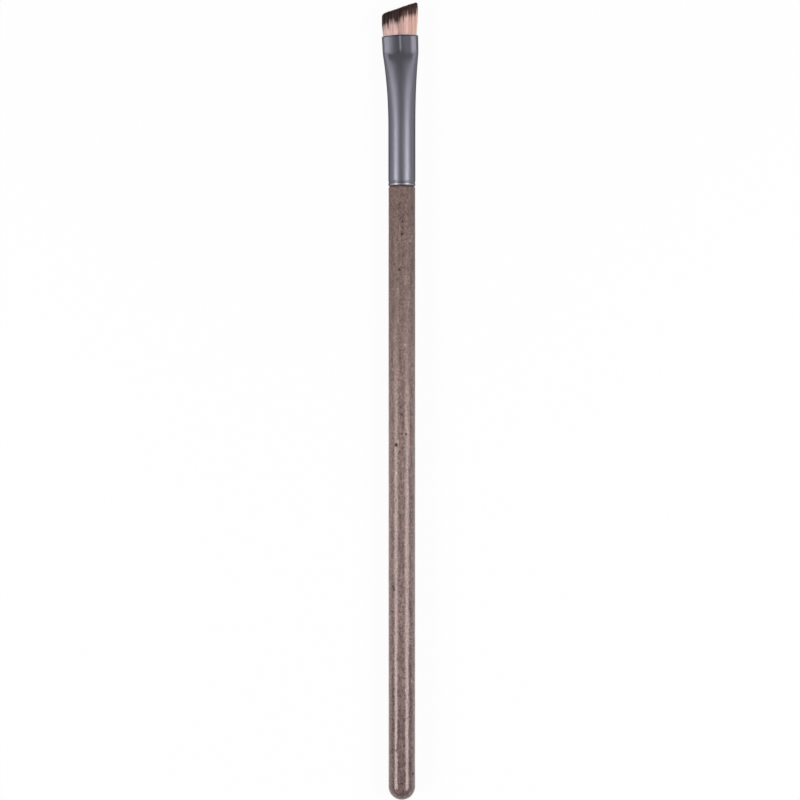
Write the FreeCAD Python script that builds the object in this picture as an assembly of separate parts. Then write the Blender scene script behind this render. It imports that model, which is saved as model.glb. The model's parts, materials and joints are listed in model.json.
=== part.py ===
import FreeCAD, Part
import math
import os

# A flat, slant-cut eye make-up brush that lies on a table.
# +X runs along the brush from the butt to the hair tips and +Z is up, at the broad face of the hair.
# The origin is on the table, under the middle of the brush's length.
# The long side of the slant cut, the toe, is at -Y and the short side, the heel, is at +Y.

# Handle: a straight round rod with a domed butt and a square shoulder
handle_length = 130.6
handle_diameter = 5.70
shoulder_round = 0.25

# Ferrule: a drawn tube, round where it holds the handle and pressed flat at its mouth
straight_length = 11.65
flare_length = 16.65
pressed_length = 3.75
ferrule_diameter = 5.76
ferrule_wall = 0.35
crease_width = 7.62
mouth_width = 7.76
mouth_thickness = 3.60
mouth_face_angle = 31.0
tube_face_angle = 45.0
head_lean = 2.3
lip_round = 0.26
foot_round = 0.24
crease_ease = 0.6
width_power = 2.3
thickness_power = 2.0
wall_rounding_share = 0.8

# Rolled groove near the ferrule's lower end, and the slit between that end and the shoulder
rolled_groove_place = 0.80
rolled_groove_width = 0.50
rolled_groove_depth = 0.10
shoulder_slit = 0.15

# Tenon inside the ferrule and the film of glue round it
glue_film = 0.14
tenon_setback = 0.30
tenon_chamfer = 0.45
tenon_groove_width = 0.80
tenon_groove_depth = 0.22
tenon_groove_shares = (0.36, 0.68)
glue_margin = 0.35

# Hair outside the mouth
toe_length = 7.25
cut_angle = 16.7
belly_swell = 0.30
tip_thickness = 0.90
heel_round = 0.55
toe_round = 0.30
flex_angle = 18.0
flatness_share = 0.75
mouth_clearance = 0.06
knuckle_clearance = 0.06

# Hair inside the ferrule, its binding thread and the resin that holds both
root_recess_share = 0.55
tie_length = 3.0
tie_thread = 0.30
tail_length = 0.80
resin_wall = 0.30
resin_lead = 1.50
resin_cap = 1.50
air_gap = 2.40
fit_gap = 0.02

# Outline of the free hair: places along the toe side, and how far width and thickness have gone there
tuft_place_shares = (0.0, 0.09, 0.30, 0.55, 0.80, 1.10)
tuft_swell_shares = (0.0, 0.0, 0.70, 1.0, 0.97, 0.86)
tuft_thinning_shares = (0.0, 0.0, 0.06, 0.38, 0.76, 1.10)

# Counts
loft_steps = 12

# One overrun for every cut that has to pass a face
overrun = 1.0

# Sizes that follow from the ones above
handle_radius = handle_diameter / 2
tube_radius = ferrule_diameter / 2
bore_radius = tube_radius - ferrule_wall
head_length = pressed_length + flare_length
ferrule_length = straight_length + head_length
overall_length = handle_length + shoulder_slit + ferrule_length + toe_length
tenon_radius = bore_radius - glue_film
tenon_length = shoulder_slit + straight_length - tenon_setback
root_length = head_length - resin_cap - air_gap
tie_end = root_length - tail_length
tie_start = tie_end - tie_length
root_squeeze = (tie_thread + resin_wall + 3 * fit_gap) * root_length / tie_start
half_bore_width = mouth_width / 2 - ferrule_wall
half_bore_thickness = mouth_thickness / 2 - ferrule_wall
knuckle_radius = (half_bore_thickness - mouth_clearance) * math.cos(math.radians(flex_angle))
half_base_width = half_bore_width - mouth_clearance
half_belly_width = half_base_width + belly_swell
root_recess = root_recess_share * knuckle_radius

# Places along the brush
butt_x = -overall_length / 2
shoulder_x = butt_x + handle_length
foot_x = shoulder_x + shoulder_slit
flare_x = foot_x + straight_length
axis_height = tube_radius

along_x = FreeCAD.Vector(1, 0, 0)
up = FreeCAD.Vector(0, 0, 1)


def ring_solid(outline):
    """Solid of revolution about the brush's axis from a closed outline of edges in the XZ plane."""
    face = Part.Face(Part.Wire(outline))
    return face.revolve(FreeCAD.Vector(), along_x, 360)


def chain(points):
    """Straight edges through the points in turn."""
    return [Part.LineSegment(a, b).toShape() for a, b in zip(points, points[1:])]


def at(x, radius):
    """Point of a turned outline."""
    return FreeCAD.Vector(x, 0, radius)


def rod(start_x, end_x, radius):
    """Round bar along the brush's axis."""
    return Part.makeCylinder(radius, end_x - start_x, FreeCAD.Vector(start_x, 0, 0), along_x)


def station(depth):
    """Placement on the ferrule's centreline, at a depth below the mouth.

    Its X is the brush's width, its Y the thickness and its Z points out of the mouth.
    The head of the ferrule bends by the lean angle, spread evenly from the straight tube to the mouth.
    """
    reach = head_length - depth
    bend_radius = head_length / math.radians(head_lean)
    turn = math.radians(head_lean) * min(max(reach / head_length, 0), 1)
    past_mouth = max(reach - head_length, 0)
    before_bend = min(reach, 0)
    onward = FreeCAD.Vector(math.cos(turn), math.sin(turn), 0)
    sideways = FreeCAD.Vector(-math.sin(turn), math.cos(turn), 0)
    bend_end = FreeCAD.Vector(flare_x + bend_radius * math.sin(turn), bend_radius * (1 - math.cos(turn)), 0)
    place = bend_end + onward * (past_mouth + before_bend)
    return FreeCAD.Placement(place, FreeCAD.Rotation(sideways, up, onward, "XYZ"))


def oval(half_width, half_thickness, face_angle):
    """Closed wire of four tangent arcs, two broad faces and two round ends.

    face_angle is how far the surface has turned where a broad face meets an end.
    Equal halves give a circle.
    """
    turn = math.radians(face_angle)
    end_centre = (half_width - half_thickness) / (1 - math.tan(turn / 2))
    end_radius = half_width - end_centre
    seam_x = end_centre + end_radius * math.sin(turn)
    seam_y = end_radius * math.cos(turn)
    top = FreeCAD.Vector(0, half_thickness, 0)
    side = FreeCAD.Vector(half_width, 0, 0)
    corners = [
        FreeCAD.Vector(seam_x, seam_y, 0),
        FreeCAD.Vector(-seam_x, seam_y, 0),
        FreeCAD.Vector(-seam_x, -seam_y, 0),
        FreeCAD.Vector(seam_x, -seam_y, 0),
    ]
    crowns = [top, -side, -top, side]
    arcs = [
        Part.Arc(corners[k], crowns[k], corners[(k + 1) % len(corners)]).toShape()
        for k in range(len(corners))
    ]
    return Part.Wire(arcs)


def hair_oval(half_width, half_thickness):
    """Section of the hair, whose broad faces turn by a share of what would bring its ends to a point."""
    pointed = 2 * math.degrees(math.atan2(half_thickness, half_width))
    return oval(half_width, half_thickness, flatness_share * pointed)


def past_crease(depth):
    """How far a depth lies past the crease, easing in over a short way on either side of it."""
    past = depth - pressed_length
    if past <= -crease_ease:
        return 0
    if past >= crease_ease:
        return past
    return (past + crease_ease) ** 2 / (4 * crease_ease)


def head_section(depth, inset):
    """The ferrule's outer section at a depth below the mouth, drawn in evenly by an inset."""
    pressed = min(depth / pressed_length, 1)
    flared = min(past_crease(depth) / flare_length, 1)
    flat_width = mouth_width + (crease_width - mouth_width) * pressed
    width = ferrule_diameter + (flat_width - ferrule_diameter) * (1 - flared) ** width_power
    thickness = ferrule_diameter + (mouth_thickness - ferrule_diameter) * (1 - flared) ** thickness_power
    face_angle = tube_face_angle + (mouth_face_angle - tube_face_angle) * (1 - flared)
    wire = oval(width / 2 - inset, thickness / 2 - inset, face_angle)
    wire.Placement = station(depth)
    return wire


def head_loft(top_depth, bottom_depth, inset):
    """Solid that follows the ferrule's head between two depths; inset is a function of depth.

    The pressed mouth and the flare are two stretches that meet at the crease between them.
    """
    limits = [top_depth, min(max(pressed_length, top_depth), bottom_depth), bottom_depth]
    stretches = []
    for start, end in zip(limits, limits[1:]):
        if end > start:
            depths = [start + (end - start) * k / loft_steps for k in range(loft_steps + 1)]
            sections = [head_section(depth, inset(depth)) for depth in depths]
            stretches.append(Part.makeLoft(sections, True, False))
    return stretches[0].multiFuse(stretches[1:])


def root_inset(depth):
    """How far the hair inside the ferrule stands in from the ferrule's outside."""
    return ferrule_wall + fit_gap + root_squeeze * max(depth, 0) / root_length


def tie_inset(depth):
    """Outside of the binding thread, which lies round the hair."""
    return root_inset(depth) - fit_gap - tie_thread


def tenon(grow):
    """The handle's tenon about the axis, drawn fatter by a gap, with its glue grooves and chamfer."""
    start = shoulder_x - overrun
    end = shoulder_x + tenon_length + grow
    radius = tenon_radius + grow
    floor = radius - tenon_groove_depth
    points = [at(start, 0), at(start, radius)]
    for share in tenon_groove_shares:
        middle = shoulder_x + share * tenon_length
        near = middle - tenon_groove_width / 2 + grow
        far = middle + tenon_groove_width / 2 - grow
        points += [at(near, radius), at(near, floor), at(far, floor), at(far, radius)]
    points += [at(end - tenon_chamfer, radius), at(end, radius - tenon_chamfer), at(end, 0), at(start, 0)]
    return ring_solid(chain(points))


def handle():
    """Rod with a domed butt, a softened shoulder and the tenon, one turned piece."""
    dome_middle = at(
        butt_x + handle_radius * (1 - math.cos(math.pi / 4)),
        handle_radius * math.sin(math.pi / 4),
    )
    dome = Part.Arc(at(butt_x, 0), dome_middle, at(butt_x + handle_radius, handle_radius)).toShape()
    soft_x = shoulder_x - shoulder_round
    soft_radius = handle_radius - shoulder_round
    soft_middle = at(
        soft_x + shoulder_round * math.sin(math.pi / 4),
        soft_radius + shoulder_round * math.cos(math.pi / 4),
    )
    shoulder = Part.Arc(at(soft_x, handle_radius), soft_middle, at(shoulder_x, soft_radius)).toShape()
    side = chain([at(butt_x + handle_radius, handle_radius), at(soft_x, handle_radius)])
    close = chain([at(shoulder_x, soft_radius), at(shoulder_x, 0), at(butt_x, 0)])
    body = ring_solid([dome] + side + [shoulder] + close)
    return body.fuse(tenon(0)).removeSplitter()


def ferrule():
    """Drawn tube with a rolled groove and rounded foot, flared and pressed flat at the mouth."""
    outside = head_loft(0, head_length, lambda depth: 0).fuse(rod(foot_x, flare_x, tube_radius))
    bore = head_loft(0, head_length, lambda depth: ferrule_wall)
    bore = bore.fuse(rod(foot_x - overrun, flare_x, bore_radius))
    shell = outside.cut(bore)
    lip_place = station(0)
    lip_edges = [edge for edge in shell.Edges if lies_on_mouth(edge, lip_place, ferrule_wall / 2)]
    shell = shell.makeFillet(min(lip_round, ferrule_wall * wall_rounding_share), lip_edges)
    foot_edges = [
        edge
        for edge in shell.Edges
        if abs(edge.BoundBox.XMax - foot_x) < fit_gap and edge.BoundBox.ZMax > tube_radius - ferrule_wall / 2
    ]
    shell = shell.makeFillet(min(foot_round, ferrule_wall * wall_rounding_share), foot_edges)
    groove_half = rolled_groove_width / 2
    groove_radius = (groove_half ** 2 + rolled_groove_depth ** 2) / (2 * rolled_groove_depth)
    groove_ring = tube_radius + groove_radius - rolled_groove_depth
    groove_place = FreeCAD.Vector(foot_x + rolled_groove_place, 0, 0)
    return shell.cut(Part.makeTorus(groove_ring, groove_radius, groove_place, along_x))


def lies_on_mouth(edge, place, depth_of_wall):
    """Whether an edge runs round the outside of the mouth."""
    inverse = place.inverse()
    points = [inverse.multVec(vertex.Point) for vertex in edge.Vertexes]
    middle = inverse.multVec(edge.valueAt((edge.FirstParameter + edge.LastParameter) / 2))
    flat = all(abs(point.z) < fit_gap for point in points + [middle])
    clear_width = mouth_width / 2 - depth_of_wall
    clear_thickness = mouth_thickness / 2 - depth_of_wall
    return flat and (abs(middle.x) > clear_width or abs(middle.y) > clear_thickness)


def bristle_tuft():
    """Free hair: a flat wedge cut on the slant, with a round knuckle where it bends at the mouth."""
    sections = []
    for place, swell, thinning in zip(tuft_place_shares, tuft_swell_shares, tuft_thinning_shares):
        half_width = half_base_width + belly_swell * swell
        half_thickness = knuckle_radius + (tip_thickness / 2 - knuckle_radius) * thinning
        wire = hair_oval(half_width, half_thickness)
        wire.translate(FreeCAD.Vector(0, 0, place * toe_length))
        sections.append(wire)
    free = Part.makeLoft(sections, True, False).common(slant_trim())
    tuft = free.fuse(spindle(0)).removeSplitter()
    tuft.Placement = station(0)
    return tuft


def spindle(grow):
    """The hair's flat section turned about the line across the mouth that the hair bends about."""
    half_width = half_base_width + grow
    radius = knuckle_radius + grow
    section = Part.Face(hair_oval(half_width, radius))
    corner = FreeCAD.Vector(-half_width - overrun, -radius - overrun, -overrun)
    lower_half = Part.makeBox(2 * (half_width + overrun), radius + overrun, 2 * overrun, corner)
    return section.cut(lower_half).Faces[0].revolve(FreeCAD.Vector(), along_x, 360)


def slant_trim():
    """Block whose far face is the slant cut with its two rounded corners."""
    slope = math.tan(math.radians(cut_angle))
    side = half_belly_width
    outer = side + overrun
    heel_height = toe_length - 2 * side * slope
    corners = [corner_round(side, heel_height, heel_round, 1), corner_round(-side, toe_length, toe_round, -1)]
    (heel_low, heel_mid, heel_high), (toe_low, toe_mid, toe_high) = corners
    below = -overrun
    edges = chain([
        FreeCAD.Vector(-outer, 0, toe_low.z),
        FreeCAD.Vector(-outer, 0, below),
        FreeCAD.Vector(outer, 0, below),
        FreeCAD.Vector(outer, 0, heel_low.z),
        heel_low,
    ])
    edges.append(Part.Arc(heel_low, heel_mid, heel_high).toShape())
    edges += chain([heel_high, toe_high])
    edges.append(Part.Arc(toe_high, toe_mid, toe_low).toShape())
    edges += chain([toe_low, FreeCAD.Vector(-outer, 0, toe_low.z)])
    face = Part.Face(Part.Wire(edges))
    face.translate(FreeCAD.Vector(0, -mouth_thickness, 0))
    return face.extrude(FreeCAD.Vector(0, 2 * mouth_thickness, 0))


def corner_round(side, height, radius, hand):
    """Tangent point on the side, middle and tangent point on the slant of one rounded corner."""
    slant = math.radians(cut_angle)
    sweep = math.pi / 2 - hand * slant
    setback = radius * math.tan(sweep / 2)
    low = FreeCAD.Vector(side, 0, height - setback)
    along_slant = hand * setback
    high = FreeCAD.Vector(side - along_slant * math.cos(slant), 0, height + along_slant * math.sin(slant))
    centre = FreeCAD.Vector(side - hand * radius, 0, height - setback)
    outward = FreeCAD.Vector(hand * math.cos(sweep / 2), 0, math.sin(sweep / 2))
    return low, centre + outward * radius, high


def tuft_root():
    """The same hair below the mouth, drawn together towards its bound end."""
    root = head_loft(root_recess, root_length, root_inset)
    trough = spindle(knuckle_clearance)
    trough.Placement = station(0)
    return root.cut(trough)


def root_tie():
    """Binding thread round the hair's end, as one wound band."""
    band = head_loft(tie_start, tie_end, tie_inset)
    hair = head_loft(tie_start - overrun, tie_end + overrun, lambda depth: root_inset(depth) - fit_gap)
    return band.cut(hair)


def root_plug():
    """Set resin that fills the ferrule round the bound end of the hair."""
    top = tie_start - resin_lead
    bottom = root_length + resin_cap
    block = head_loft(top, bottom, lambda depth: ferrule_wall + fit_gap)
    hair = head_loft(top - overrun, root_length + fit_gap, lambda depth: root_inset(depth) - fit_gap)
    band = head_loft(tie_start - fit_gap, tie_end + fit_gap, lambda depth: tie_inset(depth) - fit_gap)
    return block.cut(hair).cut(band)


def tenon_glue():
    """Sleeve of glue between the tenon and the tube, keyed into the tenon's grooves."""
    start = foot_x + glue_margin
    end = shoulder_x + tenon_length - tenon_chamfer
    return rod(start, end, bore_radius - fit_gap).cut(tenon(fit_gap))


pieces = {
    "handle": handle,
    "ferrule": ferrule,
    "bristle_tuft": bristle_tuft,
    "tuft_root": tuft_root,
    "root_tie": root_tie,
    "root_plug": root_plug,
    "tenon_glue": tenon_glue,
}

os.makedirs("parts", exist_ok=True)
for name, make in pieces.items():
    shape = make()
    shape.translate(FreeCAD.Vector(0, 0, axis_height))
    print(name, "solids", len(shape.Solids), "valid", shape.isValid(), "volume", round(shape.Volume, 3))
    shape.Solids[0].exportStep("parts/" + name + ".step")
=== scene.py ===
"""Looks of a flat, slant-cut eye make-up brush that lies on a table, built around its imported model."""
import json
import math
import random

import bpy
import numpy as np
from mathutils import Matrix, Vector, noise


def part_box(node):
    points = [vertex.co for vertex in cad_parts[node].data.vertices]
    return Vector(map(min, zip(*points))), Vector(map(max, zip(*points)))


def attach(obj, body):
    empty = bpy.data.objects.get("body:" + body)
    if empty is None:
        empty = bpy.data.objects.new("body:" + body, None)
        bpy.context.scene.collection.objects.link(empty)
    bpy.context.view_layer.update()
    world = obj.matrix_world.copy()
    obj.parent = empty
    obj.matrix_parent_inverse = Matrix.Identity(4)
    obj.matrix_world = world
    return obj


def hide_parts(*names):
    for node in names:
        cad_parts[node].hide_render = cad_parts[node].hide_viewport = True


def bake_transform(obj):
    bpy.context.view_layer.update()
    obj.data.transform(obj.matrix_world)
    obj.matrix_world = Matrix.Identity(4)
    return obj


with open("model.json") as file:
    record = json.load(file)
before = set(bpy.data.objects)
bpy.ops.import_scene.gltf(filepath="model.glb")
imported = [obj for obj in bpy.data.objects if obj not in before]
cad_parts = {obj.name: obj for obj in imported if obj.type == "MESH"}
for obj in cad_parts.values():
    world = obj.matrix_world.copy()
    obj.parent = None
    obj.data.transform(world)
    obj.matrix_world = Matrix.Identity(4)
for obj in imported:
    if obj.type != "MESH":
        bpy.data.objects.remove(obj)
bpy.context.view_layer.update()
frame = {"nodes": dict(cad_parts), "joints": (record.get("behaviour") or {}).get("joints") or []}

bl_info = {
    "name": "Slant-cut eye brush",
    "version": (1, 0, 0),
    "blender": (4, 5, 0),
    "location": "3D View > Sidebar > Brush",
    "description": "Dresses the packed pieces of a flat eye make-up brush and sets up its studio",
    "category": "Object",
}

# Places that come from the frame, in metres.
# +X runs along the brush to the hair tips, the heel of the slant cut is at +Y and +Z is up.
MM = 0.001
handle_low, handle_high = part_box("handle")
ferrule_low, ferrule_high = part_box("ferrule")
tuft_low, tuft_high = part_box("bristle_tuft")
root_low, root_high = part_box("tuft_root")
tie_low, tie_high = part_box("root_tie")
hinge = frame["joints"][0]
mouth = Vector(hinge["pos_m"])
sideways = Vector(hinge["axis"]).normalized()
up = Vector((0, 0, 1))
onward = sideways.cross(up)
axis_height = mouth.z
full_turn = 2 * math.pi

# Sockets of a Mix node that is set to colours, and of one that is set to numbers
MIX_A = 6
MIX_B = 7
MIX_RESULT = 2
NUMBER_A = 2
NUMBER_B = 3


def linear(code):
    """Linear colour of an sRGB hex value."""
    shares = [int(code[k:k + 2], 16) / 255 for k in (1, 3, 5)]
    return tuple(s / 12.92 if s <= 0.04045 else ((s + 0.055) / 1.055) ** 2.4 for s in shares)


def length(name, default, description):
    """A length that a user can change, in metres."""
    return bpy.props.FloatProperty(
        name=name, description=description, default=default, min=0,
        unit="LENGTH", subtype="DISTANCE", precision=5,
    )


def colour(name, code, description):
    """A colour that a user can change."""
    return bpy.props.FloatVectorProperty(
        name=name, description=description, default=linear(code), size=3, min=0, max=1, subtype="COLOR",
    )


def share(name, default, description):
    """A number from 0 to 1 that a user can change."""
    return bpy.props.FloatProperty(
        name=name, description=description, default=default, min=0, max=1, subtype="FACTOR",
    )


def count(name, default, description):
    """A whole number that a user can change."""
    return bpy.props.IntProperty(name=name, description=description, default=default, min=1)


def angle(name, degrees, description):
    """An angle that a user can change."""
    return bpy.props.FloatProperty(
        name=name, description=description, default=math.radians(degrees),
        unit="ROTATION", subtype="ANGLE",
    )


class HandleSettings(bpy.types.PropertyGroup):
    """Sizes and colours of the handle."""

    diameter: length("Diameter", handle_high.y - handle_low.y, "Diameter of the rod")
    shoulder_slit: length("Shoulder slit", 0.15 * MM, "Gap between the shoulder and the ferrule's foot")
    shoulder_round: length("Shoulder round", 0.25 * MM, "Radius of the shoulder's edge")
    tenon_diameter: length("Tenon diameter", 4.78 * MM, "Diameter of the tenon inside the ferrule")
    tenon_chamfer: length("Tenon chamfer", 0.45 * MM, "Chamfer at the tenon's end")
    groove_width: length("Glue groove width", 0.80 * MM, "Width of each glue groove in the tenon")
    groove_depth: length("Glue groove depth", 0.22 * MM, "Depth of each glue groove in the tenon")
    wave_height: length("Wave height", 0.020 * MM, "How far the lacquered surface rises and falls")
    wave_length: length("Wave length", 1.6 * MM, "Distance from crest to crest of those waves")
    pit_count: count("Pits", 90, "Small pores left open in the surface")
    taupe: colour("Taupe", "#6C5853", "Main colour of the composite")
    olive: colour("Olive", "#6B5850", "Fibres that turn to green")
    russet: colour("Russet", "#6C5550", "Fibres that turn to red")
    fleck: colour("Pale fleck", "#95837A", "Pale fibre ends")
    pore: colour("Pore", "#2A1F1C", "Dark pores between the fibres")
    lacquer_cast: colour("Lacquer cast", "#F3F8FF", "Cool cast of the lacquer where it is thick")
    butt_roughness: share("Butt roughness", 0.12, "Softness of the lacquer's gloss at the butt")
    shoulder_roughness: share("Shoulder roughness", 0.56, "Softness of the lacquer's gloss at the ferrule")


class FerruleSettings(bpy.types.PropertyGroup):
    """Finish of the ferrule."""

    metal: colour("Metal", "#7C7A84", "Colour of the dyed oxide on the metal")
    edge_tint: colour("Grazing tint", "#35343A", "Colour that the metal reflects along its edges")
    foot_roughness: share("Foot roughness", 0.45, "Softness of the satin finish where the tube is round")
    flare_roughness: share("Flare roughness", 0.52, "Softness of the satin finish where the tube flares")
    pressed_roughness: share("Pressed roughness", 0.45, "Softness where the dies rubbed the mouth")
    pressed_length: length("Pressed length", 4.2 * MM, "Distance from the mouth to the crease")
    flat_width: length("Flat width", 1.45 * MM, "Width of the flat on the toe side of each pressed face")
    # Painted highlight: half width of the paler line painted down the middle of each pressed face
    painted_line_highlight: length("Die line", 0.34 * MM, "Half width of the line that the dies left on each face")


class HairSettings(bpy.types.PropertyGroup):
    """Sizes and colours of the hair."""

    filaments: count("Filaments", 2400, "Filaments in the brush")
    filament_diameter: length("Filament diameter", 0.09 * MM, "Thickness of one filament")
    base_width: length("Base width", 7.06 * MM, "Width of the hair at the mouth")
    base_thickness: length("Base thickness", tuft_high.z - tuft_low.z, "Thickness of the hair at the mouth")
    belly_swell: length("Belly swell", 0.33 * MM, "How far each side swells out above the mouth")
    tip_thickness: length("Tip thickness", 0.90 * MM, "Thickness of the hair at its tips")
    toe_length: length("Toe length", 7.06 * MM, "Length of the hair on the long side")
    toe_lean: length("Toe lean", 0.16 * MM, "How far the tips lean to the long side")
    cut_angle: angle("Cut angle", 16.7, "Slant of the cut, measured from the mouth")
    heel_round: length("Heel round", 0.78 * MM, "Radius of the corner on the short side")
    toe_round: length("Toe round", 0.50 * MM, "Radius of the corner on the long side")
    heel_dye_length: length("Heel dyed length", 2.95 * MM, "Length of a lock's dark tips on the short side")
    toe_dye_length: length("Toe dyed length", 2.42 * MM, "Length of a lock's dark tips on the long side")
    middle_dye_rise: length("Middle dye rise", 0.62 * MM, "How much further the dye climbs in the middle")
    dye_fade: length("Dye fade", 0.45 * MM, "Length over which the dark tips fade out")
    dye_scatter: length("Dye scatter", 0.32 * MM, "How unevenly the locks took up the dye")
    heel_pink: colour("Heel pink", "#DFC3BF", "Filaments on the short side")
    toe_peach: colour("Toe peach", "#EFC6B9", "Filaments on the long side")
    heel_dark: colour("Heel dark", "#140605", "Dyed tips on the short side")
    toe_dark: colour("Toe dark", "#3A1C19", "Dyed tips on the long side")
    thread: length("Binding thread", 0.30 * MM, "Thickness of the thread that binds the roots")


class StageSettings(bpy.types.PropertyGroup):
    """Camera, floor and light."""

    camera_distance: length("Camera distance", 0.45, "Height of the camera above the brush's axis")
    picture_width: length("Picture width", 170.56 * MM, "Width that the picture spans at the brush's axis")
    centre_along: length("Centre along", 0.17 * MM, "Where the camera stands along the brush")
    centre_across: length("Centre across", 0.40 * MM, "Where the camera stands across the brush")
    light_distance: length("Light distance", 0.40, "Distance of the two soft boxes from the brush's axis")
    box_setback: length("Soft box setback", 0.05, "How far the soft boxes stand towards the butt")
    box_length: length("Soft box length", 0.40, "Length of each round soft box along the brush")
    heel_box_width: length("Heel box width", 0.19, "Width of the soft box on the heel side")
    toe_box_width: length("Toe box width", 0.23, "Width of the soft box on the toe side")
    heel_light_angle: angle("Heel light angle", 51.5, "Slant of the heel side's light, from straight up")
    toe_light_angle: angle("Toe light angle", 44.5, "Slant of the toe side's light, from straight up")
    paper: colour("Paper", "#DADADA", "Colour of the paper under the brush")
    paper_glow: share("Paper glow", 0.95, "How far the paper shows as pure white, next to its shaded self")


def add_node(tree, kind, settings, inputs):
    """A node with its settings and its inputs, where an input is a value or another node's output."""
    node = tree.nodes.new("ShaderNode" + kind)
    for name, value in settings.items():
        setattr(node, name, value)
    for name, value in inputs.items():
        socket = node.inputs[name]
        if isinstance(value, bpy.types.NodeSocket):
            tree.links.new(value, socket)
        elif socket.type == "RGBA":
            socket.default_value = (*value, 1)
        else:
            socket.default_value = value
    return node


def calculate(tree, operation, *values):
    """Number that a Math node gives."""
    return add_node(tree, "Math", {"operation": operation}, dict(enumerate(values))).outputs["Value"]


def combine(tree, operation, *values):
    """Vector that a Vector Math node gives."""
    return add_node(tree, "VectorMath", {"operation": operation}, dict(enumerate(values))).outputs["Vector"]


def scaled(tree, vector, factor):
    """A vector times a number."""
    node = add_node(tree, "VectorMath", {"operation": "SCALE"}, {0: vector, "Scale": factor})
    return node.outputs["Vector"]


def distance_along(tree, place, direction):
    """How far a place lies along a direction."""
    node = add_node(tree, "VectorMath", {"operation": "DOT_PRODUCT"}, {0: place, 1: direction})
    return node.outputs["Value"]


def ranged(tree, value, low, high, before, after, easing="LINEAR"):
    """A number that goes from one value to another while the input goes from low to high."""
    node = add_node(tree, "MapRange", {"interpolation_type": easing}, {
        "Value": value, "From Min": low, "From Max": high, "To Min": before, "To Max": after,
    })
    return node.outputs["Result"]


def smooth_range(tree, value, low, high, before, after):
    """The same, with a soft start and a soft end."""
    return ranged(tree, value, low, high, before, after, "SMOOTHSTEP")


def mixed(tree, factor, first, second, blend="MIX"):
    """Colour between two colours, or with MULTIPLY the first one times the second."""
    node = add_node(tree, "Mix", {"data_type": "RGBA", "blend_type": blend}, {
        "Factor": factor, MIX_A: first, MIX_B: second,
    })
    return node.outputs[MIX_RESULT]


def attribute(tree, name):
    """A value that the mesh carries at its points."""
    return add_node(tree, "Attribute", {"attribute_name": name}, {}).outputs["Fac"]


def object_place(tree):
    """A point's own place in the frame, in metres."""
    return add_node(tree, "TexCoord", {}, {}).outputs["Object"]


def place_along(tree, place):
    """Where a place lies along the brush."""
    return add_node(tree, "SeparateXYZ", {}, {"Vector": place}).outputs["X"]


def pattern_place(tree, along, across):
    """Object coordinates in units of a pattern's real size along and across the brush."""
    scale = (1 / along, 1 / across, 1 / across)
    return add_node(tree, "Mapping", {}, {"Vector": object_place(tree), "Scale": scale}).outputs["Vector"]


def noise_pattern(tree, along, across, detail, roughness=0.5):
    """Soft noise whose patches have a real size along and across the brush."""
    node = add_node(tree, "TexNoise", {}, {
        "Vector": pattern_place(tree, along, across), "Scale": 1, "Detail": detail, "Roughness": roughness,
    })
    return node.outputs["Fac"]


def new_tree(name):
    """An empty material and its node tree."""
    material = bpy.data.materials.new(name)
    material.use_nodes = True
    material.node_tree.nodes.clear()
    return material, material.node_tree


def surface(tree, shader):
    """Ends a material with its shader."""
    add_node(tree, "OutputMaterial", {}, {"Surface": shader})


def principled(tree, inputs):
    """Ends a material with a Principled shader."""
    surface(tree, add_node(tree, "BsdfPrincipled", {}, inputs).outputs["BSDF"])


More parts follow.
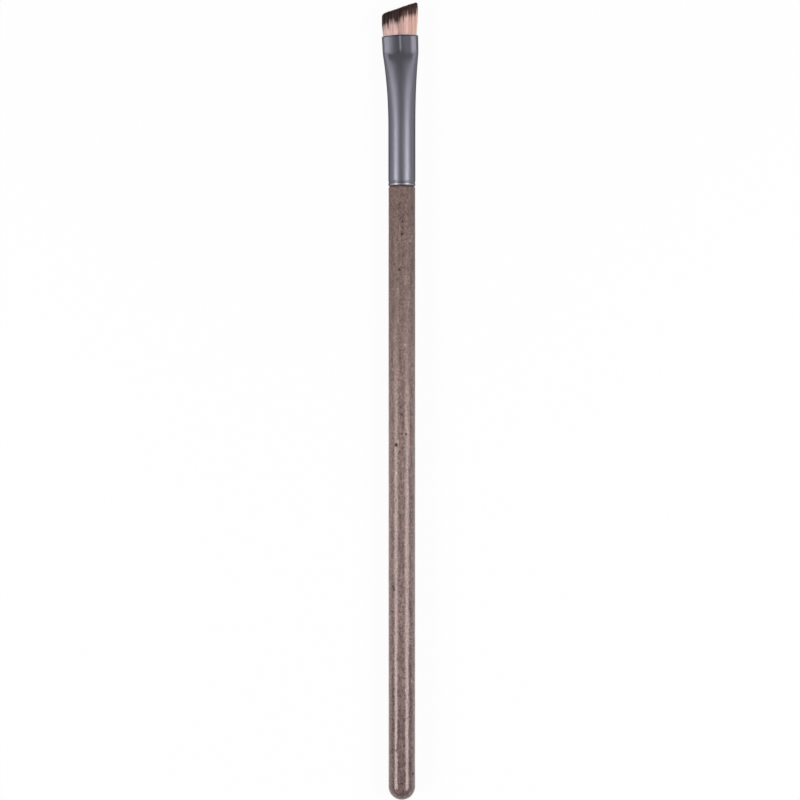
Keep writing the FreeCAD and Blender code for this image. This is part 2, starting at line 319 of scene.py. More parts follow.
def handle_composite(s):
    """Wood-fibre composite, moulded, sanded and lacquered.

    It shows short fibres of mixed browns along the rod, with pale fibre ends and dark pores, a little
    paler midway. The lacquer is thin and dull next to the ferrule, rubbed smoother midway, and thick,
    glossy, cool and rippled at the butt.
    """
    butt = handle_low.x
    fibre_length = 3.6 * MM
    fibre_width = 0.55 * MM
    fibre_noise = 0.6
    patch_length = 9 * MM
    patch_width = 2.6 * MM
    grit = 0.45 * MM
    grit_noise = 0.7
    fleck_length = 1.7 * MM
    fleck_width = 1.1 * MM
    fleck_rarity = 0.86
    grain_contrast = 0.70
    fibre_contrast = 0.42
    russet_most = 0.6
    # Parts of each pattern's range over which its colour comes in
    olive_band = (0.45, 0.68)
    russet_band = (0.46, 0.66)
    shade_band = (0.25, 0.75)
    spot_band = (0.08, 0.26)
    grain_roughness = 0.14
    pit_roughness = 0.6
    gloss_start = butt + 15 * MM
    gloss_end = butt + 130 * MM
    rub_start = butt + 48 * MM
    rub_full = butt + 68 * MM
    rub_fade = butt + 80 * MM
    rub_end = butt + 98 * MM
    rub_gloss = 0.07
    pale_middle = butt + 55 * MM
    pale_reach = 27 * MM
    pale_rise = 0.22
    cast_start = butt + 60 * MM
    cast_end = butt + 105 * MM
    ripple_end = butt + 45 * MM
    butt_ripple = 0.040 * MM
    grain_ripple = 0.015 * MM
    lacquer_ior = 1.5
    lacquer_shine = 0.62
    shine_tint = linear("#FFECEA")
    material, tree = new_tree("wood_fibre_composite_lacquered")
    fibres = noise_pattern(tree, fibre_length, fibre_width, detail=3, roughness=fibre_noise)
    patches = noise_pattern(tree, patch_length, patch_width, detail=2)
    grains = noise_pattern(tree, grit, grit, detail=2, roughness=grit_noise)
    cells = add_node(tree, "TexVoronoi", {}, {
        "Vector": pattern_place(tree, fleck_length, fleck_width), "Scale": 1,
    })
    shaded = mixed(tree, ranged(tree, fibres, *olive_band, 0, 1), s.taupe, s.olive)
    shaded = mixed(tree, ranged(tree, patches, *russet_band, 0, russet_most), shaded, s.russet)
    for pattern, contrast in ((grains, grain_contrast), (fibres, fibre_contrast)):
        shade = ranged(tree, pattern, *shade_band, 1 - contrast, 1 + contrast)
        shaded = mixed(tree, 1, shaded, shade, "MULTIPLY")
    spot = ranged(tree, cells.outputs["Distance"], *spot_band, 1, 0)
    draw = add_node(tree, "SeparateColor", {}, {"Color": cells.outputs["Color"]})
    for channel, tint in (("Red", s.fleck), ("Green", s.pore)):
        chosen = calculate(tree, "GREATER_THAN", draw.outputs[channel], fleck_rarity)
        shaded = mixed(tree, calculate(tree, "MULTIPLY", chosen, spot), shaded, tint)
    pits = attribute(tree, "pitted")
    shaded = mixed(tree, pits, shaded, s.pore)
    along = place_along(tree, object_place(tree))
    thickness = ranged(tree, along, cast_start, cast_end, 1, 0)
    shaded = mixed(tree, thickness, shaded, s.lacquer_cast, "MULTIPLY")
    from_middle = calculate(tree, "SUBTRACT", along, pale_middle)
    swing = calculate(tree, "COSINE", calculate(tree, "DIVIDE", from_middle, pale_reach))
    paleness = calculate(tree, "MULTIPLY_ADD", swing, pale_rise, 1)
    shaded = mixed(tree, 1, shaded, paleness, "MULTIPLY")
    gloss = ranged(tree, along, gloss_start, gloss_end, s.butt_roughness, s.shoulder_roughness)
    rubbed = smooth_range(tree, along, rub_start, rub_full, 0, -rub_gloss)
    rubbed = smooth_range(tree, along, rub_fade, rub_end, rubbed, 0)
    roughness = calculate(tree, "ADD", gloss, rubbed)
    roughness = calculate(tree, "MULTIPLY_ADD", grains, grain_roughness, roughness)
    roughness = calculate(tree, "MULTIPLY_ADD", pits, pit_roughness, roughness)
    ripple = ranged(tree, along, butt, ripple_end, butt_ripple, grain_ripple)
    relief = add_node(tree, "Bump", {}, {"Height": grains, "Distance": ripple, "Strength": 1})
    principled(tree, {
        "Base Color": shaded, "Roughness": calculate(tree, "MINIMUM", roughness, 1),
        "Normal": relief.outputs["Normal"], "IOR": lacquer_ior, "Specular IOR Level": lacquer_shine,
        "Specular Tint": shine_tint,
    })
    return material


def pressed_normal(tree, s, across, away, depth):
    """The ferrule's normal, set upright where the dies left a face flatter across than the solid is.

    That is on the toe side of the pressed mouth, and over more of the face just behind the crease.
    """
    face_radius = 6.6 * MM
    flat_start = 0.9 * MM
    flat_end = flat_start + s.flat_width
    flat_ease = 0.35 * MM
    flat_fade = 5 * MM
    dent_half = 2.6 * MM
    dent_start = s.pressed_length - 0.1 * MM
    dent_full = s.pressed_length + 0.3 * MM
    dent_end = s.pressed_length + 2.6 * MM
    on_flat = calculate(tree, "MAXIMUM", calculate(tree, "SUBTRACT", across, flat_start), 0)
    flat_edge = smooth_range(tree, across, flat_end - flat_ease, flat_end + flat_ease, 1, 0)
    flat_turn = calculate(tree, "MULTIPLY", on_flat, flat_edge)
    dent_edge = smooth_range(tree, away, dent_half - flat_ease, dent_half + flat_ease, 1, 0)
    dent_turn = calculate(tree, "MULTIPLY", across, dent_edge)
    dented = smooth_range(tree, depth, dent_start, dent_full, 0, 1)
    dented = smooth_range(tree, depth, dent_full, dent_end, dented, 0)
    turn = add_node(tree, "Mix", {"data_type": "FLOAT"}, {
        "Factor": dented, NUMBER_A: flat_turn, NUMBER_B: dent_turn,
    }).outputs["Result"]
    pressed = smooth_range(tree, depth, s.pressed_length, s.pressed_length + flat_fade, 1 / face_radius, 0)
    aside = scaled(tree, sideways, calculate(tree, "MULTIPLY", turn, pressed))
    normal = add_node(tree, "NewGeometry", {}, {}).outputs["Normal"]
    return combine(tree, "NORMALIZE", combine(tree, "ADD", normal, aside))


def ferrule_metal(s):
    """Aluminium, drawn to a tube, tumbled and anodised dark grey, then pressed flat at the mouth.

    It has a soft satin sheen with a cool cast and faint draw lines along it. A painted highlight
    brightens its colour along the foot's edge, and another paints a pale line down each pressed face.
    The press smoothed the mouth, and behind the crease the colour is darkened as painted shade.
    """
    draw_line = 0.22 * MM
    draw_run = 12 * MM
    line_band = (0.3, 0.7)
    line_tone = 0.05
    line_roughness = 0.06
    foot_edge = ferrule_low.x + 0.45 * MM
    foot_edge_start = ferrule_low.x + 0.225 * MM
    foot_painted_highlight = 1.5
    line_painted_highlight = 1.35
    crease = s.pressed_length
    line_highlight_fade = 0.6 * crease
    rub_fade = 0.9 * crease
    crease_painted_shade = 0.78
    crease_fade = 7 * MM
    crease_bow = 0.7 * MM
    half_mouth = (ferrule_high.y - ferrule_low.y) / 2
    shade_half = 0.6 * half_mouth
    shade_shift = 0.5 * MM
    tube_length = ferrule_high.x - ferrule_low.x
    rubbed_change = s.pressed_roughness - s.flare_roughness - line_roughness / 2
    material, tree = new_tree("anodised_aluminium_satin")
    place = object_place(tree)
    inward = combine(tree, "SUBTRACT", mouth, place)
    across = distance_along(tree, inward, sideways)
    away = calculate(tree, "ABSOLUTE", across)
    bowed = calculate(tree, "MULTIPLY", away, away)
    straight = distance_along(tree, inward, onward)
    depth = calculate(tree, "MULTIPLY_ADD", bowed, crease_bow / half_mouth ** 2, straight)
    lines = noise_pattern(tree, draw_run, draw_line, detail=2)
    flared = ranged(tree, depth, crease, tube_length, s.flare_roughness, s.foot_roughness)
    rubbed = smooth_range(tree, depth, rub_fade, crease, rubbed_change, -line_roughness / 2)
    satin = calculate(tree, "ADD", flared, rubbed)
    roughness = calculate(tree, "MULTIPLY_ADD", lines, line_roughness, satin)
    # Painted shade: behind the crease the metal's colour is darkened across the faces, reaching further on
    # the heel side
    off_shade_middle = calculate(tree, "ABSOLUTE", calculate(tree, "ADD", across, shade_shift))
    faced = smooth_range(tree, off_shade_middle, shade_half, half_mouth, 1, 0)
    painted_crease_shade = ranged(tree, depth, crease, crease + crease_fade, crease_painted_shade - 1, 0)
    level = calculate(tree, "MULTIPLY_ADD", painted_crease_shade, faced, 1)
    # Painted highlight: a paler line down the middle of each pressed face, full near the mouth and gone at
    # the crease
    painted_line_highlight = smooth_range(tree, away, 0, s.painted_line_highlight, line_painted_highlight, 0)
    line_highlight_reach = smooth_range(tree, depth, line_highlight_fade, crease, 1, 0)
    level = calculate(tree, "MULTIPLY_ADD", painted_line_highlight, line_highlight_reach, level)
    drawn = ranged(tree, lines, *line_band, 1 - line_tone, 1 + line_tone)
    level = calculate(tree, "MULTIPLY", level, drawn)
    along = place_along(tree, place)
    # Painted highlight: the metal's colour is made brighter along the rounded edge of the foot
    painted_foot_highlight = smooth_range(tree, along, foot_edge_start, foot_edge, foot_painted_highlight, 1)
    level = calculate(tree, "MULTIPLY", level, painted_foot_highlight)
    principled(tree, {
        "Base Color": scaled(tree, s.metal, level), "Metallic": 1, "Roughness": roughness,
        "Specular Tint": s.edge_tint, "Normal": pressed_normal(tree, s, across, away, depth),
    })
    return material


def hair_filament(s):
    """Polyester filament, extruded and dipped in dark dye at the tips.

    Each filament has a tone of its own, and the dye climbs some locks further than others.
    """
    material, tree = new_tree("polyester_filament_dip_dyed")
    across = attribute(tree, "across")
    pale = mixed(tree, across, s.toe_peach, s.heel_pink)
    dark = mixed(tree, across, s.toe_dark, s.heel_dark)
    both = mixed(tree, attribute(tree, "dyed"), pale, dark)
    principled(tree, {
        "Base Color": mixed(tree, 1, both, attribute(tree, "tone"), "MULTIPLY"), "Roughness": 0.5,
        "IOR": 1.45, "Specular IOR Level": 0.3, "Sheen Weight": 0.08, "Sheen Roughness": 0.5,
    })
    return material


def mottled(name, pale, dark, patch, roughness, extra):
    """A poured or wound filler in two close tones, with its other shader values."""
    relief_share = 0.05
    material, tree = new_tree(name)
    patches = noise_pattern(tree, patch, patch, detail=3)
    relief = add_node(tree, "Bump", {}, {"Height": patches, "Distance": patch * relief_share})
    principled(tree, {
        "Base Color": mixed(tree, patches, linear(pale), linear(dark)), "Roughness": roughness,
        "Normal": relief.outputs["Normal"], **extra,
    })
    return material


def mesh_piece(name, points, faces, material):
    """A smooth-shaded mesh object in the scene."""
    mesh = bpy.data.meshes.new(name)
    mesh.from_pydata([tuple(p) for p in points], [], [tuple(f) for f in faces])
    mesh.validate()
    mesh.shade_smooth()
    mesh.materials.append(material)
    piece = bpy.data.objects.new(name, mesh)
    bpy.context.scene.collection.objects.link(piece)
    return piece


def ring_faces(rings, sides, first=0):
    """Quads between rings of points that follow one another."""
    return [
        (
            first + r * sides + k,
            first + r * sides + (k + 1) % sides,
            first + (r + 1) * sides + (k + 1) % sides,
            first + (r + 1) * sides + k,
        )
        for r in range(rings - 1)
        for k in range(sides)
    ]


def ring_map(rings, sides):
    """Places of the same quads' corners on a unit square, turn across and rings upward."""
    return [
        (k / sides, r / (rings - 1))
        for ring in range(rings - 1)
        for side in range(sides)
        for k, r in ((side, ring), (side + 1, ring), (side + 1, ring + 1), (side, ring + 1))
    ]


def cap_map(sides, low, high):
    """Places of an end cap's corners, in a band of the unit square."""
    half_width = 0.4
    middle = (low + high) / 2
    turns = [full_turn * k / sides for k in range(sides)]
    return [
        (0.5 + half_width * math.cos(turn), middle + (high - middle) * math.sin(turn))
        for turn in turns
    ]


def set_values(piece, name, numbers):
    """A named value at every point of a piece, for its material."""
    layer = piece.data.attributes.new(name, "FLOAT", "POINT")
    layer.data.foreach_set("value", np.asarray(numbers, dtype=np.float32))


def set_bake_map(piece, corners):
    """The map that colours are baked to when the piece is exported."""
    layer = piece.data.uv_layers.new(name="OFBake")
    layer.data.foreach_set("uv", np.asarray(corners, dtype=np.float32).ravel())


def handle_outline(s):
    """Distance along the brush and radius of each ring of the handle, from the butt to the tenon's end."""
    dome_rings = 34
    rod_rings = 880
    shoulder_rings = 5
    groove_shares = (0.36, 0.68)
    radius = s.diameter / 2
    shoulder = ferrule_low.x - s.shoulder_slit
    soft = s.shoulder_round
    tenon = s.tenon_diameter / 2
    outline = []
    for k in range(1, dome_rings):
        turn = math.pi / 2 * k / dome_rings
        outline.append((handle_low.x + radius * (1 - math.cos(turn)), radius * math.sin(turn)))
    start = handle_low.x + radius
    for k in range(rod_rings + 1):
        outline.append((start + (shoulder - soft - start) * k / rod_rings, radius))
    for k in range(1, shoulder_rings + 1):
        turn = math.pi / 2 * k / shoulder_rings
        outline.append((shoulder - soft + soft * math.sin(turn), radius - soft + soft * math.cos(turn)))
    outline.append((shoulder, tenon))
    for groove in groove_shares:
        middle = shoulder + groove * (handle_high.x - shoulder)
        near, far = middle - s.groove_width / 2, middle + s.groove_width / 2
        floor = tenon - s.groove_depth
        outline += [(near, tenon), (near, floor), (far, floor), (far, tenon)]
    outline.append((handle_high.x - s.tenon_chamfer, tenon))
    outline.append((handle_high.x, tenon - s.tenon_chamfer))
    return outline


# Marks that stand out on the handle: distance from the butt, turn from the top towards the heel side in
# degrees, radius across, and depth, where a mark that stands proud has a depth below zero
handle_marks = (
    (75.7, 26, 0.48, 0.16),
    (78.0, -18, 0.32, 0.12),
    (120.4, -1, 0.40, 0.14),
    (112.8, 10, 0.36, 0.14),
    (114.0, 34, 0.24, 0.10),
    (126.6, 13, 0.24, 0.10),
    (45.6, 43, 0.40, 0.12),
    (45.0, 38, 0.36, 0.12),
    (5.8, -56, 0.52, 0.12),
    (11.0, 27, 0.40, -0.07),
    (64.6, 11, 0.20, 0.10),
    (16.5, -3, 0.24, 0.10),
    (54.3, -5, 0.20, 0.08),
    (64.3, -44, 0.22, 0.10),
    (20.1, -80, 0.30, 0.15),
)


def handle_relief(s, outline, sides):
    """How far each point of the handle stands off its round, and how dark it is for the pore it lies in."""
    fade_length = 1.5 * MM
    dark_depth = 0.12 * MM
    wave_stretch = 2
    ripple_share = 0.5
    ripple_pitch = 2.3
    pit_seed = 11
    pit_widths = (0.12, 0.24)
    pit_places = (3, 129)
    pit_steepness = 0.35
    end = ferrule_low.x - s.shoulder_slit - s.shoulder_round
    radius = s.diameter / 2
    xs = np.array([x for x, r in outline])
    turns = np.arange(sides) * full_turn / sides
    relief = np.zeros((len(xs), sides))
    for i, (x, r) in enumerate(outline):
        if x >= end:
            continue
        fade = min((end - x) / fade_length, 1)
        for k, turn in enumerate(turns):
            place = Vector((x / wave_stretch, r * math.sin(turn), r * math.cos(turn))) / s.wave_length
            wave = noise.noise(place) + ripple_share * noise.noise(place * ripple_pitch)
            relief[i, k] = fade * s.wave_height * wave
    draw = random.Random(pit_seed)
    marks = [(d * MM, math.radians(a), w * MM, h * MM) for d, a, w, h in handle_marks]
    for _ in range(s.pit_count):
        width = draw.uniform(*pit_widths) * MM
        place = draw.uniform(*pit_places) * MM
        marks.append((place, draw.uniform(-math.pi, math.pi), width, width * pit_steepness))
    pitted = np.zeros_like(relief)
    for distance, turn, width, depth in marks:
        away = (turns - turn + math.pi) % full_turn - math.pi
        gap = np.hypot((xs - handle_low.x - distance)[:, None], radius * away[None, :])
        hollow = np.clip(1 - (gap / width) ** 2, 0, 1)
        relief -= depth * hollow ** 2
        pitted = np.maximum(pitted, hollow * min(depth / dark_depth, 1))
    return relief, pitted


class BRUSH_OT_handle(bpy.types.Operator):
    """Turn the handle, with its waves, pores and marks, and lacquer it"""

    bl_idname = "brush.handle"
    bl_label = "Handle"

    def execute(self, context):
        s = context.scene.brush_handle
        sides = 96
        sharp_angle = math.radians(40)
        outline = handle_outline(s)
        relief, pitted = handle_relief(s, outline, sides)
        points = [Vector((handle_low.x, 0, axis_height))]
        for (x, radius), row in zip(outline, relief):
            for k in range(sides):
                turn = full_turn * k / sides
                reach = radius + row[k]
                points.append(Vector((x, reach * math.sin(turn), axis_height + reach * math.cos(turn))))
        faces = ring_faces(len(outline), sides, 1)
        faces += [(0, 1 + (k + 1) % sides, 1 + k) for k in range(sides)]
        faces.append([1 + (len(outline) - 1) * sides + k for k in range(sides)])
        piece = mesh_piece("handle_rod", points, faces, handle_composite(s))
        piece.data.set_sharp_from_angle(angle=sharp_angle)
        set_values(piece, "pitted", np.concatenate([[0], pitted.ravel()]))
        set_bake_map(piece, self.bake_corners(len(outline), sides))
        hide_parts("handle")
        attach(piece, "brush_body")
        return {"FINISHED"}

    def bake_corners(self, rings, sides):
        """The rod's skin cut into columns that stand side by side, over a row for its two ends."""
        columns = 3
        end_band = 0.04
        gap = 0.01
        quads = np.array(ring_map(rings, sides)).reshape(-1, 4, 2)
        ring = np.repeat(np.arange(rings - 1), sides)
        column = ring * columns // (rings - 1)
        start = np.ceil(column * (rings - 1) / columns) / (rings - 1)
        across = (column[:, None] + gap + quads[:, :, 0] * (1 - 2 * gap)) / columns
        upward = (quads[:, :, 1] - start[:, None]) * columns
        upward = end_band + gap + upward * (1 - end_band - 3 * gap)
        skin = np.stack([across, upward], axis=2).reshape(-1, 2).tolist()
        for k in range(sides):
            left = k / sides
            right = (k + 1) / sides
            skin += [((left + right) / 2, 0), (right, end_band / 2), (left, end_band / 2)]
        return skin + cap_map(sides, end_band / 2, end_band)


class BRUSH_OT_ferrule(bpy.types.Operator):
    """Give the ferrule its anodised finish"""

    bl_idname = "brush.ferrule"
    bl_label = "Ferrule"

    def execute(self, context):
        node = frame["nodes"]["ferrule"]
        node.data.materials.clear()
        node.data.materials.append(ferrule_metal(context.scene.brush_ferrule))
        return {"FINISHED"}


# Outline of the free hair: places along the toe side, and how far width and thickness have gone there
place_shares = (-1.0, 0.0, 0.04, 0.11, 0.22, 0.34, 0.55, 0.80, 1.10)
swell_shares = (0.0, 0.0, 0.24, 0.40, 0.62, 0.82, 1.0, 0.97, 0.86)
thinning_shares = (0.0, 0.0, 0.0, 0.01, 0.05, 0.12, 0.38, 0.76, 1.10)
golden_turn = math.pi * (3 - math.sqrt(5))


def scatter_oval(number, fullness):
    """Evenly spread points in an oval of half sizes 1 and 1; fullness over 2 squares its ends off."""
    places = []
    for k in range(number):
        reach = math.sqrt((k + 0.5) / number)
        turn = k * golden_turn
        c, d = math.cos(turn), math.sin(turn)
        places.append((
            reach * math.copysign(abs(c) ** (2 / fullness), c),
            reach * math.copysign(abs(d) ** (2 / fullness), d),
        ))
    return places


class Filaments:
    """Tapered filaments that are gathered into one mesh, with named values at every point."""

    # Layout of a filament's cell in the bake map: its cap's share, its margin and how tall the cells are
    cap_band = 0.1
    margin = 0.06
    cell_aspect = 1.6

    def __init__(self, sides):
        self.sides = sides
        self.rings = 0
        self.number = 0
        self.points = []
        self.faces = []
        self.values = {"dyed": [], "tone": [], "across": []}

    def add(self, centres, radii, phase, values):
        """Adds a filament through its centres; values has a list for each name, one number to a centre."""
        first = len(self.points)
        self.rings = len(centres)
        self.number += 1
        for centre, radius in zip(centres, radii):
            for k in range(self.sides):
                turn = phase + full_turn * k / self.sides
                self.points.append(
                    centre + sideways * (radius * math.cos(turn)) + up * (radius * math.sin(turn))
                )
        self.faces += ring_faces(self.rings, self.sides, first)
        last = first + (self.rings - 1) * self.sides
        self.faces.append([last + k for k in range(self.sides)])
        for name, numbers in values.items():
            self.values[name] += np.repeat(numbers, self.sides).tolist()

    def piece(self, name, material):
        """The mesh object, with a cell of the bake map for each filament."""
        piece = mesh_piece(name, self.points, self.faces, material)
        for value, numbers in self.values.items():
            set_values(piece, value, numbers)
        columns = math.ceil(math.sqrt(self.number * self.cell_aspect))
        rows = math.ceil(self.number / columns)
        cell = [(u, v * (1 - self.cap_band)) for u, v in ring_map(self.rings, self.sides)]
        cell += cap_map(self.sides, 1 - self.cap_band, 1)
        cell = self.margin + np.array(cell) * (1 - 2 * self.margin)
        numbers = np.arange(self.number)
        corners = np.stack([numbers % columns, numbers // columns], axis=1)
        set_bake_map(piece, (corners[:, None, :] + cell[None, :, :]) / (columns, rows))
        return piece


def cut_height(s, side):
    """Height of the slant cut above the mouth at a place across the hair, heel side positive."""
    half = s.base_width / 2 + s.belly_swell
    height = s.toe_length - (side + half) * math.tan(s.cut_angle)
    for radius, gap in ((s.heel_round, half - side), (s.toe_round, half + side)):
        if 0 <= gap < radius:
            height -= radius - math.sqrt(radius ** 2 - (radius - gap) ** 2)
        elif gap < 0:
            height -= radius
    return height


class BRUSH_OT_hair(bpy.types.Operator):
    """Set the filaments of the free hair, cut on the slant and dyed at the tips"""

    bl_idname = "brush.hair"
    bl_label = "Hair"

    # Rings of a filament: its root, the mouth, and places up to its tip as shares of its length
    steps = (0, 0, 0.18, 0.40, 0.56, 0.70, 0.86, 1.0)
    taper = (1, 1, 1, 1, 0.98, 0.92, 0.75, 0.36)
    sides = 5
    seed = 5
    fullness = 2.6
    lock_count = 150
    lock_pull = 0.22
    lock_depth_share = 0.45
    root_depth = 0.9 * MM
    bend_start = 0.3 * MM
    bend_end = 3.0 * MM

    # How much the locks differ from one another, and the filaments within a lock
    lock_tone_spread = 0.05
    lock_lean_spread = 0.05 * MM
    lock_length_spread = 0.04 * MM
    side_spread = 0.012
    depth_spread = 0.03
    length_spread = 0.05 * MM
    dye_spread = 0.26 * MM
    tone_spread = 0.06
    lean_spread = 0.03 * MM
    least_tone = 0.6

    # The dye climbs less at a lock's edge, by this much of the distance from the lock's middle.
    edge_dye_loss = 3.0
    dye_steepness = 4

    def execute(self, context):
        s = context.scene.brush_hair
        draw = random.Random(self.seed)
        locks = [
            {
                "v": v, "w": w,
                "dye": draw.gauss(0, s.dye_scatter),
                "tone": draw.gauss(1, self.lock_tone_spread),
                "lean": draw.gauss(0, self.lock_lean_spread),
                "long": draw.gauss(0, self.lock_length_spread),
            }
            for v, w in scatter_oval(self.lock_count, self.fullness)
        ]
        hair = Filaments(self.sides)
        for v, w in scatter_oval(s.filaments, self.fullness):
            v = max(-1, min(1, v + draw.gauss(0, self.side_spread)))
            w = max(-1, min(1, w + draw.gauss(0, self.depth_spread)))
            lock = min(locks, key=lambda q: self.apart(q, v, w))
            self.add_filament(s, draw, hair, lock, v, w)
        piece = hair.piece("hair_tuft", hair_filament(s))
        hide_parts("bristle_tuft")
        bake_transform(piece)
        return {"FINISHED"}

    def apart(self, lock, v, w):
        """How far a filament stands from a lock's middle, as a share of the half width."""
        return math.hypot(lock["v"] - v, self.lock_depth_share * (lock["w"] - w))

    def add_filament(self, s, draw, hair, lock, v, w):
        """One filament from inside the mouth to the cut, drawn towards the middle of its lock."""
        half_width = s.base_width / 2
        half_thickness = s.base_thickness / 2
        tip = cut_height(s, v * (half_width + s.belly_swell)) + lock["long"]
        tip += draw.gauss(0, self.length_spread)
        dye = s.toe_dye_length + (s.heel_dye_length - s.toe_dye_length) * (v + 1) / 2
        dye += s.middle_dye_rise * (1 - v ** 2) + lock["dye"]
        dye -= self.edge_dye_loss * half_width * self.apart(lock, v, w)
        dye += draw.gauss(0, self.dye_spread)
        tone = max(self.least_tone, lock["tone"] + draw.gauss(0, self.tone_spread))
        uptake = max(self.least_tone, 1 - abs(draw.gauss(0, self.tone_spread)))
        lean = lock["lean"] + draw.gauss(0, self.lean_spread) - s.toe_lean
        centres, dyed = [], []
        heights = [-self.root_depth] + [tip * step for step in self.steps[1:]]
        for step, height in zip(self.steps, heights):
            place = height / s.toe_length
            wide = half_width + s.belly_swell * np.interp(place, place_shares, swell_shares)
            thinning = np.interp(place, place_shares, thinning_shares)
            thick = half_thickness + (s.tip_thickness / 2 - half_thickness) * thinning
            pull = self.lock_pull * step ** 2
            side = (v + (lock["v"] - v) * pull) * wide + lean * step
            rise = (w + (lock["w"] - w) * pull / 2) * thick
            centres.append(mouth + onward * height + sideways * side + up * rise)
            dyed.append(uptake / (1 + math.exp(self.dye_steepness * (tip - height - dye) / s.dye_fade)))
        values = {
            "dyed": dyed,
            "tone": [tone] * len(centres),
            "across": [(v + 1) / 2] * len(centres),
        }
        radii = [s.filament_diameter / 2 * thin for thin in self.taper]
        hair.add(centres, radii, draw.uniform(0, full_turn), values)


def node_section(name, x):
    """Middle across the brush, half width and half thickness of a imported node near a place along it."""
    window = 0.4 * MM
    near = [v.co for v in frame["nodes"][name].data.vertices if abs(v.co.x - x) < window]
    if not near:
        raise RuntimeError("no points of " + name + " near the place asked for")
    left, right = min(p.y for p in near), max(p.y for p in near)
    low, high = min(p.z for p in near), max(p.z for p in near)
    return (left + right) / 2, (right - left) / 2, (high - low) / 2


class BRUSH_OT_roots(bpy.types.Operator):
    """Set the filaments' roots inside the ferrule and wind the thread that binds them"""

    bl_idname = "brush.roots"
    bl_label = "Roots and binding"

    def execute(self, context):
        s = context.scene.brush_hair
        roots = self.root_filaments(s)
        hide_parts("tuft_root")
        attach(roots, "brush_body")
        binding = self.binding(s)
        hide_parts("root_tie")
        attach(binding, "brush_body")
        return {"FINISHED"}

    def root_filaments(self, s):
        """The same filaments below the mouth, drawn together towards the binding."""
        stations = 6
        sides = 4
        seed = 8
        fullness = 2.3
        mouth_gap = 0.8 * MM
        mean_tone = 0.95
        tone_spread = 0.07
        least_tone = 0.6
        draw = random.Random(seed)
        end = root_high.x - mouth_gap
        xs = [root_low.x + (end - root_low.x) * k / (stations - 1) for k in range(stations)]
        radius = s.filament_diameter / 2
        sections = [node_section("tuft_root", x) for x in xs]
        bundle = Filaments(sides)
        for v, w in scatter_oval(s.filaments, fullness):
            tone = max(least_tone, draw.gauss(mean_tone, tone_spread))
            centres = [
                Vector((x, middle + v * (wide - radius), axis_height + w * (thick - radius)))
                for x, (middle, wide, thick) in zip(xs, sections)
            ]
            values = {
                "dyed": [0] * stations,
                "tone": [tone] * stations,
                "across": [(v + 1) / 2] * stations,
            }
            bundle.add(centres, [radius] * stations, draw.uniform(0, full_turn), values)
        return bundle.piece("hair_roots", bpy.data.materials["polyester_filament_dip_dyed"])

    def binding(self, s):
        """One thread wound side by side round the bound end of the roots."""
        steps = 48
        sides = 8
        radius = s.thread / 2
        start, end = tie_low.x + radius, tie_high.x - radius
        turns = round((end - start) / s.thread)
        near, far = node_section("root_tie", tie_low.x), node_section("root_tie", tie_high.x)
        points = []
        for k in range(turns * steps + 1):
            done = k / (turns * steps)
            middle, wide, thick = [a + (b - a) * done for a, b in zip(near, far)]
            turn = full_turn * k / steps
            outward = Vector((0, math.cos(turn) / wide, math.sin(turn) / thick)).normalized()
            centre = Vector((
                start + (end - start) * done,
                middle + (wide - radius) * math.cos(turn),
                axis_height + (thick - radius) * math.sin(turn),
            ))
            for side in range(sides):
                roll = full_turn * side / sides
                points.append(
                    centre + outward * (radius * math.cos(roll)) + Vector((radius * math.sin(roll), 0, 0))
                )
        rings = turns * steps + 1
        faces = ring_faces(rings, sides)
        faces.append(list(range(sides))[::-1])
        faces.append([(rings - 1) * sides + k for k in range(sides)])
        thread = mottled("cotton_thread_wound", "#EDE7DA", "#CFC6B4", s.thread, 0.85, {"Sheen Weight": 0.2})
        return mesh_piece("binding_thread", points, faces, thread)


class BRUSH_OT_fillings(bpy.types.Operator):
    """Finish the resin and the glue that the ferrule hides"""

    bl_idname = "brush.fillings"
    bl_label = "Resin and glue"

    def execute(self, context):
        finishes = {
            "root_plug": mottled("epoxy_resin_poured", "#C9A66B", "#A9823F", 1.2 * MM, 0.25, {"IOR": 1.55}),
            "tenon_glue": mottled("wood_glue_dried", "#E6D9B8", "#CDBB8C", 0.9 * MM, 0.4, {"IOR": 1.48}),
        }
        for name, material in finishes.items():
            node = frame["nodes"][name]
            node.data.materials.clear()
            node.data.materials.append(material)
        return {"FINISHED"}


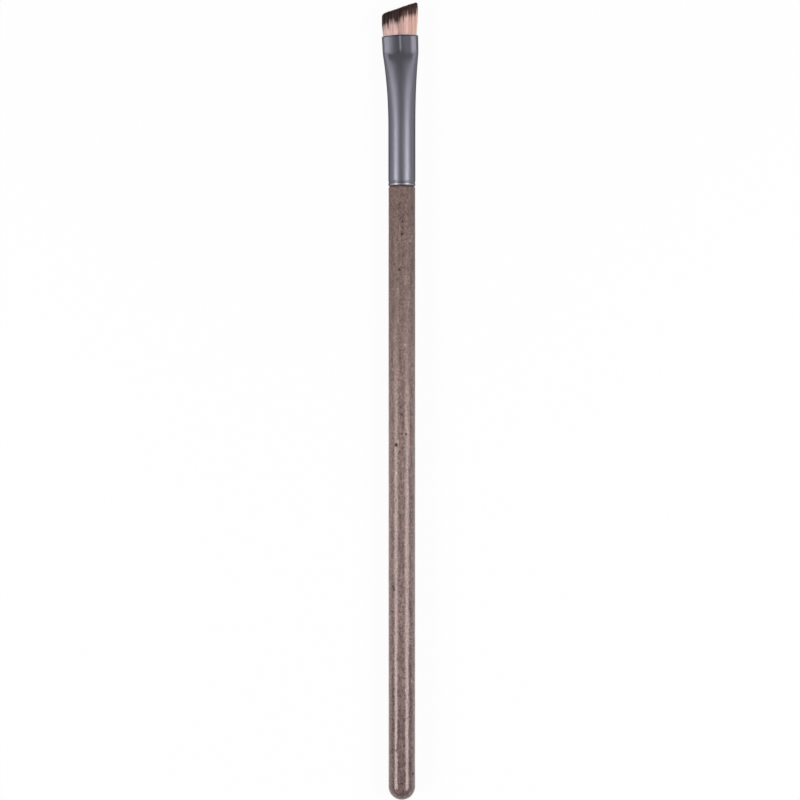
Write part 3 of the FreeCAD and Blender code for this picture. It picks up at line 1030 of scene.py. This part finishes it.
class BRUSH_OT_stage(bpy.types.Operator):
    """Lay the paper and set the camera, the lights and the world"""

    bl_idname = "brush.stage"
    bl_label = "Stage"

    def execute(self, context):
        s = context.scene.brush_stage
        scene = context.scene
        scene.view_settings.view_transform = "Standard"
        self.lay_paper(s)
        self.set_camera(scene, s)
        self.set_lights(scene, s)
        self.set_world(scene)
        return {"FINISHED"}

    def lay_paper(self, s):
        """White paper, matt, that stays white to the eye and keeps the brush's shadow."""
        reach = 6.0
        material, tree = new_tree("white_paper_matt")
        path = add_node(tree, "LightPath", {}, {})
        seen = path.outputs["Is Camera Ray"]
        for ray in ("Is Glossy Ray", "Is Transmission Ray"):
            seen = calculate(tree, "MAXIMUM", seen, path.outputs[ray])
        glow = calculate(tree, "MULTIPLY", seen, s.paper_glow)
        matt = add_node(tree, "BsdfDiffuse", {}, {"Color": s.paper})
        white = add_node(tree, "Emission", {}, {"Color": (1, 1, 1), "Strength": 1})
        both = add_node(tree, "MixShader", {}, {
            0: glow, 1: matt.outputs["BSDF"], 2: white.outputs["Emission"],
        })
        surface(tree, both.outputs["Shader"])
        corners = [(-reach, -reach, 0), (reach, -reach, 0), (reach, reach, 0), (-reach, reach, 0)]
        paper = mesh_piece("paper", corners, [(0, 1, 2, 3)], material)

    def set_camera(self, scene, s):
        """Camera straight above the brush, with the hair at the top of the picture."""
        data = bpy.data.cameras.new("camera")
        data.lens = data.sensor_width * s.camera_distance / s.picture_width
        data.clip_start = 0.01
        data.clip_end = 50
        camera = bpy.data.objects.new("camera", data)
        camera.location = (s.centre_along, s.centre_across, axis_height + s.camera_distance)
        camera.rotation_euler = (0, 0, -math.pi / 2)
        scene.collection.objects.link(camera)
        scene.camera = camera

    def set_lights(self, scene, s):
        """A round soft box on either side of the brush and a weaker one over it."""
        # Powers are in watts to a square metre of a box.
        heel_power = 26.0
        toe_power = 24.0
        overhead_power = 2.0
        overhead_distance = 0.9
        overhead_length = 0.6
        overhead_width = 0.3
        boxes = (
            ("heel_box", s.heel_light_angle, s.light_distance, s.box_length, s.heel_box_width, heel_power),
            ("toe_box", -s.toe_light_angle, s.light_distance, s.box_length, s.toe_box_width, toe_power),
            ("overhead", 0.0, overhead_distance, overhead_length, overhead_width, overhead_power),
        )
        along = Vector((1, 0, 0))
        for name, slant, distance, size_along, size_across, power in boxes:
            data = bpy.data.lights.new(name, "AREA")
            data.shape = "ELLIPSE"
            data.size = size_along
            data.size_y = size_across
            data.energy = power * math.pi / 4 * size_along * size_across
            light = bpy.data.objects.new(name, data)
            outward = Vector((0, math.sin(slant), math.cos(slant)))
            turn = Matrix((along, outward.cross(along), outward)).transposed().to_4x4()
            light.matrix_world = Matrix.Translation(outward * distance - along * s.box_setback) @ turn
            light.visible_camera = False
            scene.collection.objects.link(light)

    def set_world(self, scene):
        """An even dark grey all round, so that the satin metal keeps its contrast."""
        brightness = 0.08
        world = bpy.data.worlds.new("studio")
        world.use_nodes = True
        tree = world.node_tree
        tree.nodes.clear()
        sky = add_node(tree, "Background", {}, {"Color": (1, 1, 1), "Strength": brightness})
        add_node(tree, "OutputWorld", {}, {"Surface": sky.outputs["Background"]})
        scene.world = world


operators = (
    BRUSH_OT_handle,
    BRUSH_OT_ferrule,
    BRUSH_OT_hair,
    BRUSH_OT_roots,
    BRUSH_OT_fillings,
    BRUSH_OT_stage,
)


class BRUSH_PT_panel(bpy.types.Panel):
    """Lists the steps that dress the brush."""

    bl_idname = "BRUSH_PT_panel"
    bl_label = "Eye brush"
    bl_space_type = "VIEW_3D"
    bl_region_type = "UI"
    bl_category = "Brush"

    def draw(self, context):
        for operator in operators:
            self.layout.operator(operator.bl_idname)


settings = {
    "brush_handle": HandleSettings,
    "brush_ferrule": FerruleSettings,
    "brush_hair": HairSettings,
    "brush_stage": StageSettings,
}


def register():
    for group in settings.values():
        bpy.utils.register_class(group)
    for name, group in settings.items():
        setattr(bpy.types.Scene, name, bpy.props.PointerProperty(type=group))
    for operator in operators:
        bpy.utils.register_class(operator)
    bpy.utils.register_class(BRUSH_PT_panel)


def unregister():
    bpy.utils.unregister_class(BRUSH_PT_panel)
    for operator in reversed(operators):
        bpy.utils.unregister_class(operator)
    for name, group in reversed(settings.items()):
        delattr(bpy.types.Scene, name)
        bpy.utils.unregister_class(group)


def main():
    register()
    bpy.ops.brush.handle()
    bpy.ops.brush.ferrule()
    bpy.ops.brush.hair()
    bpy.ops.brush.roots()
    bpy.ops.brush.fillings()
    bpy.ops.brush.stage()


if __name__ == "__main__":
    main()
